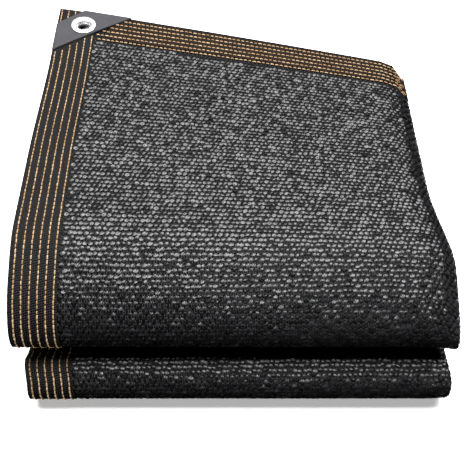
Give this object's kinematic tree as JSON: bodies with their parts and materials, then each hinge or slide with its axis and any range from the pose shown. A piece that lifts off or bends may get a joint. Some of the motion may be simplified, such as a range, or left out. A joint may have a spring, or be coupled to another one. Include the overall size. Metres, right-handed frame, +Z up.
{
  "type": "folded shade cloth",
  "caption": "Knitted shade cloth with bound edges, a reinforced corner and a set eyelet, folded into a flat pack.",
  "frame": {"origin": "middle of the pack's footprint, on the surface it rests on", "axes": "+Z up, -Y to the pack's front with its rounded folds, +X to the right of someone facing the front"},
  "size_m": [0.363, 0.375, 0.1548],
  "materials": {
    "knit": "glossy black knitted tape",
    "binding": "woven tape with brown stitching",
    "patch": "coated cloth, satin",
    "eyelet": "polished"
  },
  "bodies": {
    "root": {"cloth": "knit", "side_binding": "binding", "end_binding": "binding", "corner_patch": "patch", "eyelet": "eyelet", "eyelet_washer": "eyelet"}
  },
  "joints": []
}
